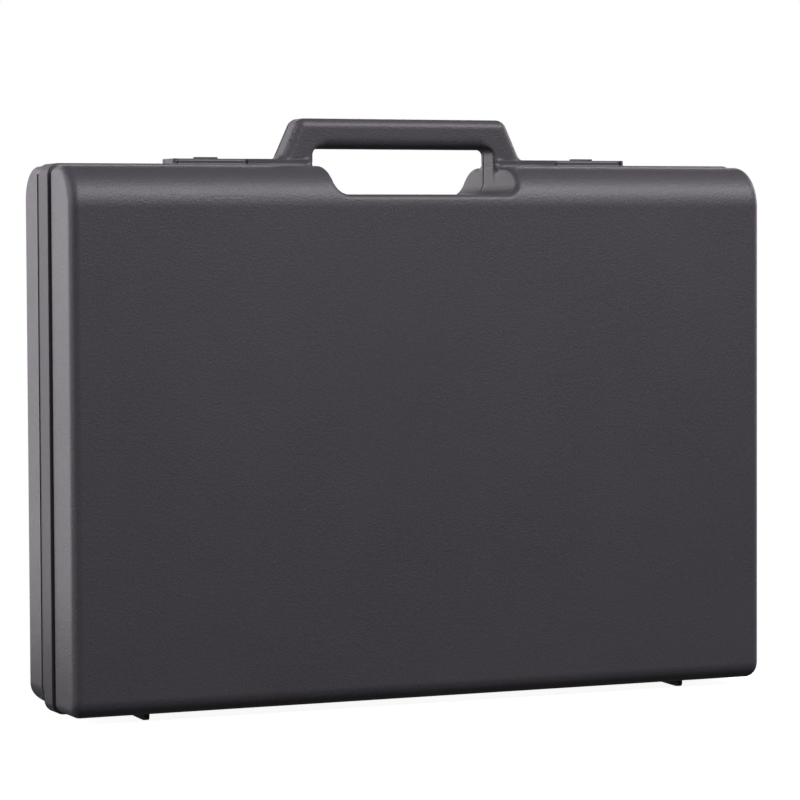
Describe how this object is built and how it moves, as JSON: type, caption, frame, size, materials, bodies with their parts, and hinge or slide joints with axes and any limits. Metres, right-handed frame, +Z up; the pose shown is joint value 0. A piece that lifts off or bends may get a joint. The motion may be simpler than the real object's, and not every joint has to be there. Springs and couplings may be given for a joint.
{
  "type": "attache case",
  "caption": "Slim moulded plastic attache case with a bottom-hinged lid, snap latches, foam pads and a handle moulded in halves with the shells.",
  "frame": {"origin": "middle of the footprint, on the surface that the feet stand on", "axes": "+X to the right along the case's width, front (deep shell) towards -Y, +Z up through the handle"},
  "size_m": [0.4626, 0.089, 0.36],
  "materials": {
    "shell_plastic": "anthracite polypropylene with a fine spark-eroded grain",
    "black_plastic": "black moulded plastic, satin",
    "steel": "zinc plated",
    "foam": "charcoal open-cell foam"
  },
  "bodies": {
    "base": {"base_shell": "shell_plastic", "base_foam": "foam", "hinge_leaf_base_left": "black_plastic", "hinge_leaf_base_right": "black_plastic", "hinge_pin_left": "steel", "hinge_pin_right": "steel", "screw_base_left_inner": "steel", "screw_base_left_outer": "steel", "screw_base_right_inner": "steel", "screw_base_right_outer": "steel", "latch_pin_left": "steel", "latch_pin_right": "steel"},
    "lid": {"lid_shell": "shell_plastic", "lid_foam": "foam", "hinge_leaf_lid_left": "black_plastic", "hinge_leaf_lid_right": "black_plastic", "screw_lid_left_inner": "steel", "screw_lid_left_outer": "steel", "screw_lid_right_inner": "steel", "screw_lid_right_outer": "steel"},
    "latch_left": {"latch_flap_left": "shell_plastic"},
    "latch_right": {"latch_flap_right": "shell_plastic"}
  },
  "joints": [
    {"name": "lid_hinge", "type": "hinge", "parent": "base", "child": "lid", "pos_m": [0, 0.01, 0.0032], "axis": [-1, 0, 0], "range_deg": [0, 110]},
    {"name": "latch_left_pivot", "type": "hinge", "parent": "base", "child": "latch_left", "pos_m": [-0.1272, -0.0026, 0.3335], "axis": [1, 0, 0], "range_deg": [0, 90]},
    {"name": "latch_right_pivot", "type": "hinge", "parent": "base", "child": "latch_right", "pos_m": [0.1272, -0.0026, 0.3335], "axis": [1, 0, 0], "range_deg": [0, 90]}
  ]
}
